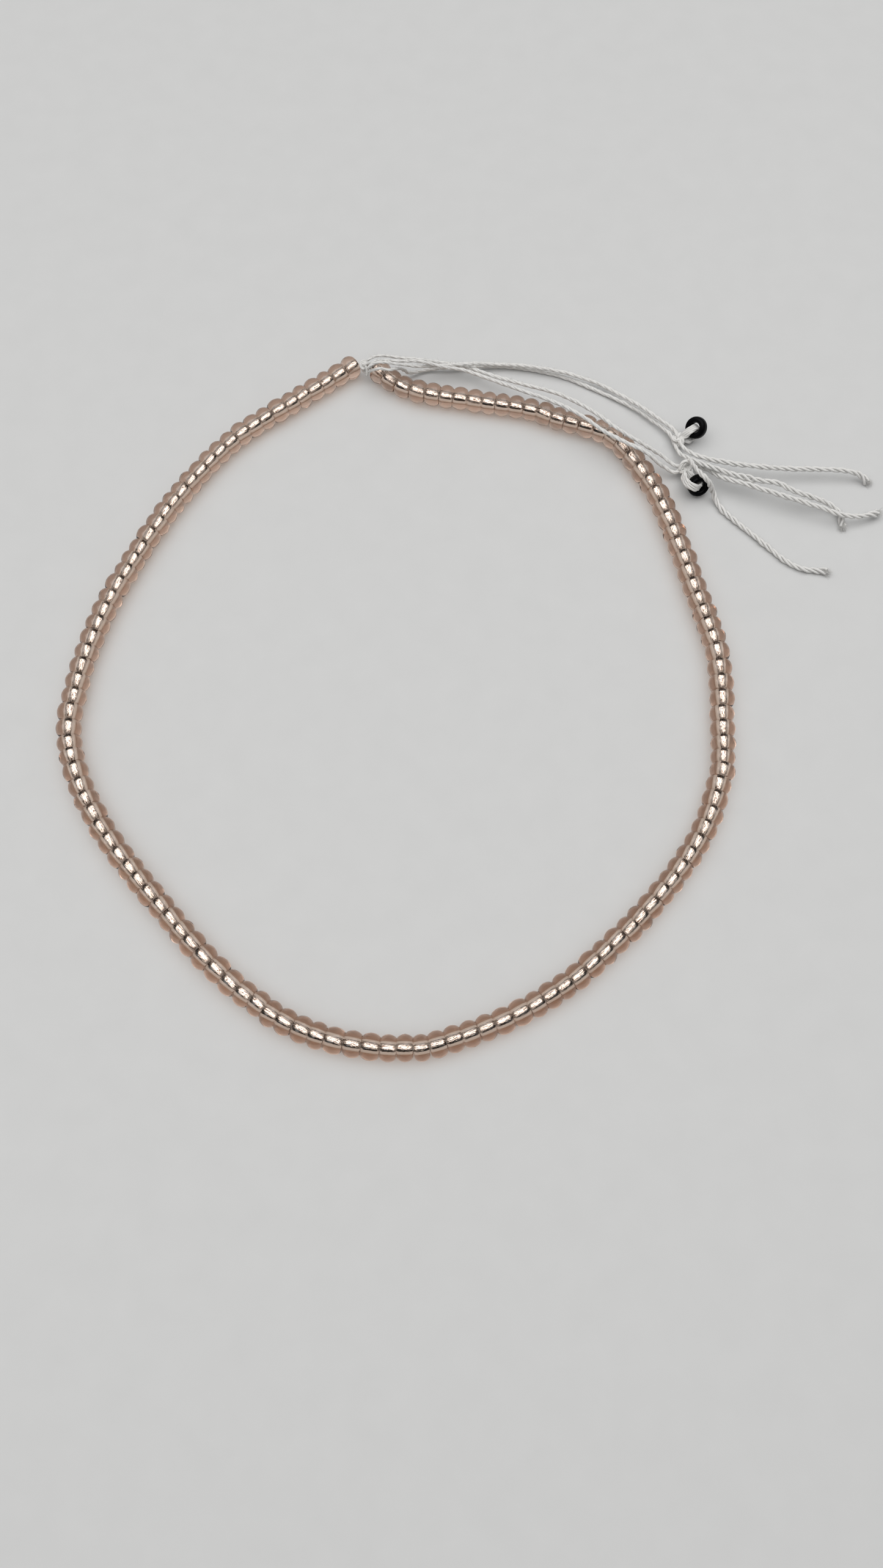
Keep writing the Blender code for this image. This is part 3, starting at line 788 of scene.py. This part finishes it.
class Finish:
    """A material or a surround being mixed: makes nodes and wires them to its shader."""

    def __init__(self, material, shader="Principled BSDF"):
        self.material = material
        self.material.use_nodes = True
        self.tree = self.material.node_tree
        self.shader = self.tree.nodes[shader]

    def node(self, kind, settings=None, inputs=None, output=0):
        """Makes a node. Its settings are set first, and then the values or wires of its sockets."""
        made = self.tree.nodes.new(kind)
        for name, value in (settings or {}).items():
            if name == "stops":
                ramp = made.color_ramp
                while len(ramp.elements) < len(value):
                    ramp.elements.new(1.0)
                for element, (position, colour) in zip(ramp.elements, value):
                    element.position, element.color = position, (*colour, 1)
            else:
                setattr(made, name, value)
        self.fill(made, inputs or {})
        return Wire(self, made.outputs[output])

    def fill(self, made, inputs):
        """Puts values or wires into a node's sockets, and makes each value fit its socket's type."""
        for name, value in inputs.items():
            if isinstance(value, Wire):
                self.tree.links.new(value.socket, made.inputs[name])
            elif isinstance(value, tuple) and made.inputs[name].type == "RGBA":
                made.inputs[name].default_value = (*value, 1)
            elif isinstance(value, (int, float)) and made.inputs[name].type == "VECTOR":
                made.inputs[name].default_value = (value, value, value)
            else:
                made.inputs[name].default_value = value

    def set(self, **inputs):
        """Sets the shader's own inputs, with their names written with underscores."""
        self.fill(self.shader, {name.replace("_", " "): value for name, value in inputs.items()})

    def let_lamps_through(self, tint):
        """Lets the light of lamps pass the surface with a tint, instead of casting a solid shadow."""
        clear = self.node("ShaderNodeBsdfTransparent", None, {"Color": tint})
        for_lamps = self.node("ShaderNodeLightPath", output="Is Shadow Ray")
        body = Wire(self, self.shader.outputs[0])
        both = self.node("ShaderNodeMixShader", None, {0: for_lamps, 1: body, 2: clear})
        self.tree.links.new(both.socket, self.tree.nodes["Material Output"].inputs["Surface"])

    def absorb(self, colour, per_metre):
        """Fills the body with a tint that deepens with the way that light goes through it."""
        inside = self.node("ShaderNodeVolumeAbsorption", None, {"Color": colour, "Density": per_metre})
        self.tree.links.new(inside.socket, self.tree.nodes["Material Output"].inputs["Volume"])

    def surface(self):
        """Where a point lies on its piece, in metres round it and along it."""
        return self.node("ShaderNodeUVMap")

    def space(self):
        """Where a point lies in the room, in metres."""
        return self.node("ShaderNodeTexCoord", output="Object")

    def noise(self, where, detail=3.0, roughness=0.5):
        """Soft irregular mottling, from 0 to 1. where is already scaled to the size of its spots."""
        inputs = {"Vector": where, "Scale": 1.0, "Detail": detail, "Roughness": roughness}
        return self.node("ShaderNodeTexNoise", None, inputs)

    def bump(self, height, depth):
        """Lifts the surface by the height, which runs from 0 to 1, times the depth in metres."""
        return self.node("ShaderNodeBump", None, {"Height": height, "Strength": 1.0, "Distance": depth})

    def mix(self, share, a, b):
        """A colour between a and b. The mixing node has its colours at inputs 6 and 7 and at output 2."""
        return self.node("ShaderNodeMix", {"data_type": "RGBA"}, {"Factor": share, 6: a, 7: b}, output=2)


print("ready to mix finishes")

# %% [markdown]
# ## White thread
# The thread is a slightly waxed white one. It isn't pure white: it is a warm pale grey that the light
# lifts. Fibres lie along each ply, so the noise that colours and raises them is stretched along the UV
# map's second axis, in metres: a fibre is some 0.03 mm wide and a millimetre long. A soft sheen lightens
# the thread's edges, where fibres stand off it. Light under the surface would be a natural thing to add,
# but the plies run through each other, and it loses its way between them and turns the thread grey.

# %% Mix the white thread
thread = Finish(bpy.data.materials.new("white_thread"))
fibres = thread.noise(thread.surface() * (30000, 1500, 1), detail=2.0)
soiling = thread.noise(thread.space() * 700)
thread_colour = thread.mix(fibres, (0.57, 0.565, 0.55), (0.72, 0.715, 0.70))
thread_colour = thread.mix(0.25 * soiling, thread_colour, (0.62, 0.59, 0.54))
thread.set(
    Base_Color=thread_colour,
    Roughness=0.6 + 0.25 * fibres,
    Normal=thread.bump(fibres, 0.006 * MM),
    Sheen_Weight=0.15,
    Sheen_Roughness=0.4,
)
thread_pieces = [*strands.values(), inner_thread, *knots.values(), *turns.values()]
for piece in thread_pieces:
    piece.data.materials.append(thread.material)
print("thread on", len(thread_pieces), "pieces")

# %% [markdown]
# ## Rose glass with a silver lining
# The glass really refracts: the hole looks half as wide again as it is, which is why the lining fills half
# of each bead's width. The rose tint is in the body of the glass and not on its surface, so light loses
# more of its blue and green the longer its way through, and thick places are deeper in colour than thin
# edges. Each bead's stored tone makes it a little paler or darker than the next. Rays that look for a lamp
# are let through the surface, because a refracting body would otherwise cast the shadow of a solid one.
# Fire-polished glass isn't perfectly even, so a faint slow bump bends its reflections. The lining is silver
# with painted dark streaks, brown like silver that has rubbed off, laid only along its top, where the lamp's
# highlight lies: with ripples there, they break that highlight into the sparkle that such beads are made for.
# Its sides mirror the table as two clean pale bands, and streaks there would spoil them.

# %% Mix the glass and the lining
ROSE_TINT = (0.685, 0.335, 0.09)
TINT_PER_METRE = 255
glass = Finish(bpy.data.materials.new("rose_glass"))
tone = glass.node("ShaderNodeAttribute", {"attribute_name": "tone"}, output="Fac")
waves = glass.noise(glass.space() * 900, detail=1.0)
glass.set(
    Base_Color=glass.mix(tone, (0.93, 0.89, 0.86), (0.97, 0.94, 0.92)),
    Roughness=0.015 + 0.02 * waves,
    IOR=1.51,
    Transmission_Weight=1.0,
    Normal=glass.bump(waves, 0.012 * MM),
)
glass.let_lamps_through((0.96, 0.95, 0.94))
glass.absorb(ROSE_TINT, TINT_PER_METRE)

PAINTED_STREAK_STOPS = [  # from the brown of painted dark streaks, like silver that has rubbed off, to bright where it is whole
    (0.0, (0.16, 0.10, 0.07)),
    (0.43, (0.22, 0.16, 0.12)),
    (0.49, (0.94, 0.94, 0.92)),
    (1.0, (0.98, 0.98, 0.96)),
]
PAINTED_STREAKS_ABOVE, CALM_BELOW = 1.88 * MM, 1.77 * MM  # painted dark streaks lie on the top of the lining, under the lamp's highlight, and not on its sides
lining = Finish(bpy.data.materials.new("silver_lining"))
where = lining.surface()
streaks = lining.noise(where * (5200, 1500, 1), detail=2.0, roughness=0.6)
chips = lining.noise(where * (3600, 5200, 1), detail=2.0, roughness=0.6)
# the height in the room keeps the painted dark streaks on the top of each hole, where the lamp's highlight
# lies
height = lining.node("ShaderNodeSeparateXYZ", None, {"Vector": lining.space()}, output="Z")
fade = {"Value": height, "From Min": PAINTED_STREAKS_ABOVE, "From Max": CALM_BELOW}
calm = lining.node("ShaderNodeMapRange", None, fade)
# painted dark streaks: brown patches that break up the lamp's highlight along the top of each hole
painted_streak_pattern = 0.55 * streaks + 0.45 * chips
silver_with_painted_streaks = lining.node("ShaderNodeValToRGB", {"stops": PAINTED_STREAK_STOPS}, {"Fac": painted_streak_pattern + calm})
lining.set(
    Base_Color=silver_with_painted_streaks,
    Metallic=1.0,
    Roughness=0.05 + 0.08 * chips,
    Normal=lining.bump((streaks + chips) * (1.15 - calm), 0.014 * MM),
)
for piece in bead_pieces.values():
    piece.data.materials.append(glass.material)
    piece.data.materials.append(lining.material)
print("glass and lining on", len(bead_pieces), "pieces")

# %% [markdown]
# ## Black glass
# The two beads at the ends of the ties are opaque black glass. Black glass isn't a black hole: what shows
# is its polish, so a very dark colour with a low roughness is enough, and a fine haze and a slight
# unevenness keep its highlights from looking computed.

# %% Mix the black glass
black = Finish(bpy.data.materials.new("black_glass"))
haze = black.noise(black.space() * 1500, detail=4.0)
black.set(
    Base_Color=black.mix(haze, (0.0015, 0.0015, 0.0018), (0.004, 0.004, 0.0045)),
    Roughness=0.06 + 0.12 * haze,
    IOR=1.5,
    Specular_IOR_Level=0.05,
    Normal=black.bump(haze, 0.004 * MM),
)
for piece in black_beads.values():
    piece.data.materials.append(black.material)
print("black glass on", len(black_beads), "beads")

# %% [markdown]
# ## The table
# The table is a plain pale sheet, wide enough that its far edge is the horizon. A faint grain keeps it from
# looking computed. It is only a stage for the picture, so it isn't part of the anklet. The helper makes any
# flat upright or level sheet of the stage from its four corners, because a black card follows below.

# %% Lay the table
TABLE_HALF = 6.0


def stage_sheet(name, corners, finish):
    """A flat sheet that belongs to the picture and not to the anklet."""
    mesh = bpy.data.meshes.new(name)
    mesh.from_pydata(corners, [], [(0, 1, 2, 3)])
    mesh.materials.append(finish.material)
    sheet = bpy.data.objects.new(name, mesh)
    scene.collection.objects.link(sheet)
    return sheet


pale = Finish(bpy.data.materials.new("pale_table"))
grain = pale.noise(pale.space() * 250, detail=4.0)
pale.set(
    Base_Color=pale.mix(grain, (0.51, 0.51, 0.505), (0.54, 0.54, 0.535)),
    Roughness=0.5,
    Specular_IOR_Level=0.2,
)
signs = ((-1, -1), (1, -1), (1, 1), (-1, 1))
table = stage_sheet("table", [(x * TABLE_HALF, y * TABLE_HALF, 0) for x, y in signs], pale)
print("the table is", 2 * TABLE_HALF, "m wide")

# %% [markdown]
# ## What the silver mirrors
# Polished silver shows only what is around it, so the surround matters as much as the lamp. It is brightest
# overhead, grey further down and dark along the horizon, as a room with a pale ceiling is. Rays that come
# straight from the camera see a plain pale surround instead, which keeps views from the side as calm as the
# picture. A black card stands on the side that the camera looks from: the linings mirror it as the dark
# band that gives them their roundness, and without it they would look like white paint. It is there for
# mirrors and glass alone, so its shadow is turned off and the table stays even on all sides.

# %% Set up the surround and the black card
SURROUND_BY_HEIGHT = [  # from the horizon at 0 to straight overhead at 1
    (0.0, (0.05, 0.035, 0.025)),
    (0.06, (0.11, 0.08, 0.06)),
    (0.14, (0.26, 0.26, 0.26)),
    (0.50, (0.38, 0.38, 0.38)),
    (0.70, (0.50, 0.50, 0.50)),
    (0.84, (0.80, 0.80, 0.80)),
]
SURROUND_SEEN = (0.62, 0.615, 0.605)
CARD_HALF_WIDTH, CARD_AWAY = 0.20, 0.125
CARD_BOTTOM, CARD_TOP = 0.004, 0.165

scene.world = bpy.data.worlds.new("studio")
surround = Finish(scene.world, "Background")
direction = surround.node("ShaderNodeTexCoord", output="Generated")
height = surround.node("ShaderNodeSeparateXYZ", None, {"Vector": direction}, output="Z")
by_height = surround.node("ShaderNodeValToRGB", {"stops": SURROUND_BY_HEIGHT}, {"Fac": height})
from_camera = surround.node("ShaderNodeLightPath", output="Is Camera Ray")
surround.set(Color=surround.mix(from_camera, by_height, SURROUND_SEEN), Strength=1.0)

dull = Finish(bpy.data.materials.new("black_card"))
dull.set(Base_Color=(0.01, 0.01, 0.01), Roughness=0.9, Specular_IOR_Level=0.1)
card_heights = {-1: CARD_BOTTOM, 1: CARD_TOP}
card_corners = [(x * CARD_HALF_WIDTH, -CARD_AWAY, card_heights[y]) for x, y in signs]
card = stage_sheet("black_card", card_corners, dull)
card.visible_camera = False
card.visible_shadow = False
card.visible_diffuse = False
print(f"the card's top is {math.degrees(math.atan2(CARD_TOP, CARD_AWAY)):.0f} degrees above the table")

# %% [markdown]
# ## The lamp
# One large soft lamp overhead casts the faint shadows. It hangs a little behind the anklet, so its mirror
# image lies along the top of each lining. Light and picture are kept simple: the plain view transform
# doesn't bend the tones that the finishes were mixed for.

# %% Hang the lamp
LAMP_SIZE = (1.40, 0.64)
LAMP_WATTS = 4.2
LAMP_AT = Vector((-0.03, 0.09, 0.60))

lamp = bpy.data.lights.new("overhead_lamp", "AREA")
lamp.shape = "RECTANGLE"
lamp.size, lamp.size_y = LAMP_SIZE
lamp.energy = LAMP_WATTS
lamp_stand = bpy.data.objects.new("overhead_lamp", lamp)
scene.collection.objects.link(lamp_stand)
lamp_stand.location = LAMP_AT
lamp_stand.rotation_euler = (-LAMP_AT).to_track_quat("-Z", "Y").to_euler()
lamp_stand.visible_camera = False
scene.view_settings.view_transform = "Standard"
print(f"lamp of {LAMP_WATTS} W, {LAMP_AT.length:.2f} m from the middle of the anklet")
